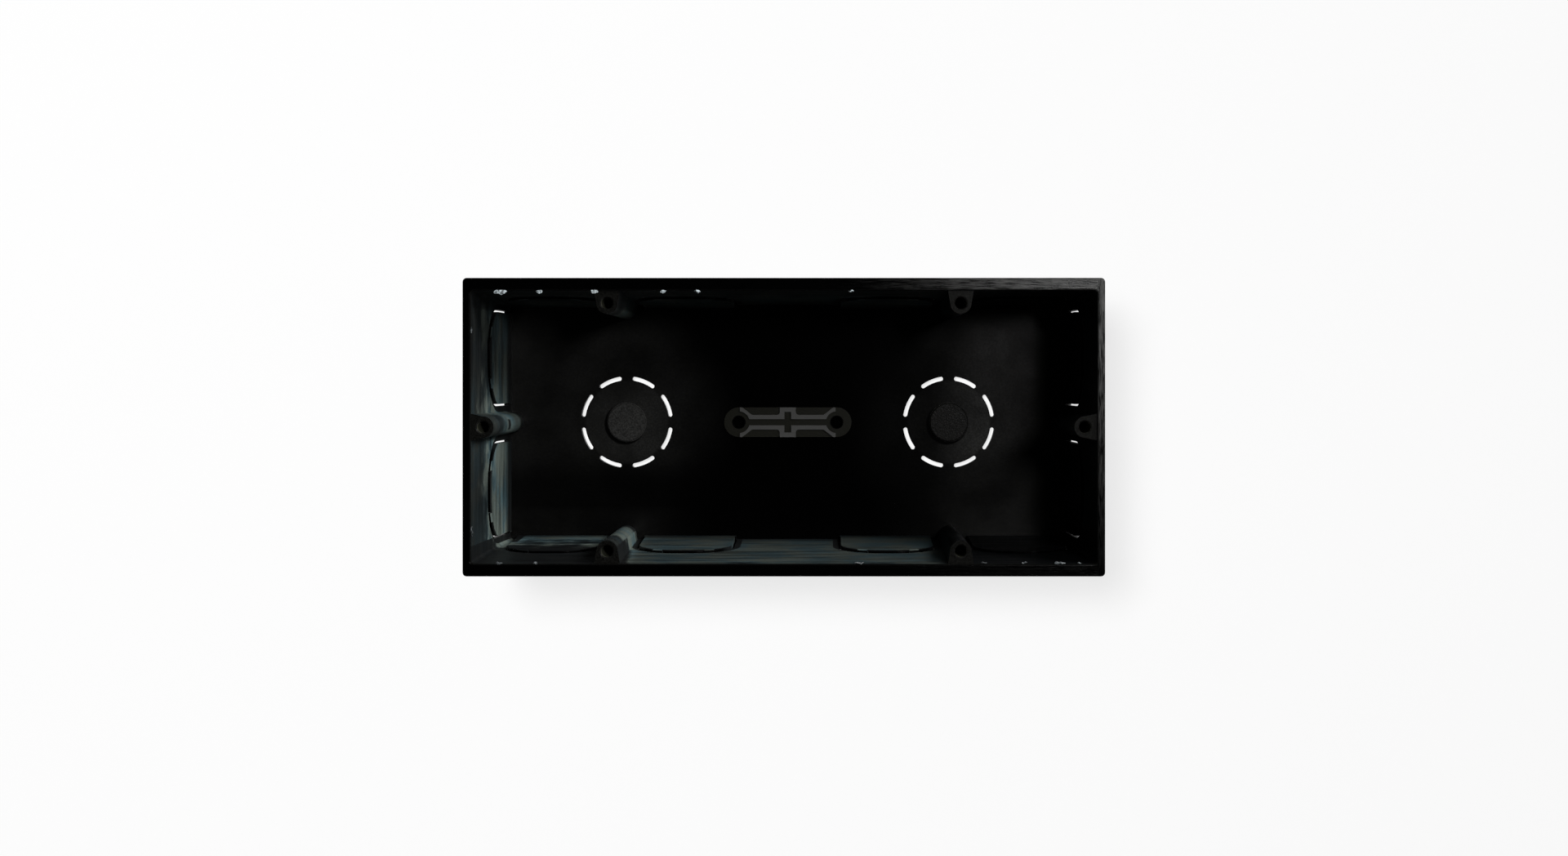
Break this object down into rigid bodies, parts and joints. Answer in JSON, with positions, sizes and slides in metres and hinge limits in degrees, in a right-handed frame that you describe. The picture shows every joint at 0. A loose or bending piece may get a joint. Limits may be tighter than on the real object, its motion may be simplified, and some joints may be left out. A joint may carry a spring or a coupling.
{
  "type": "flush back box",
  "caption": "Black moulded plastic double flush back box with screw lugs, arched wall knockouts, slotted round floor knockouts and a centre plate for wall screws.",
  "frame": {"origin": "centre of the outer back face", "axes": "+X along the length of the box, +Y across it, +Z out of the open mouth; the box lies on its back"},
  "size_m": [0.156, 0.0724, 0.047],
  "materials": {
    "black_plastic": "semi-gloss moulded, lightly streaked inside"
  },
  "bodies": {
    "root": {"back_box": "black_plastic"}
  },
  "joints": []
}
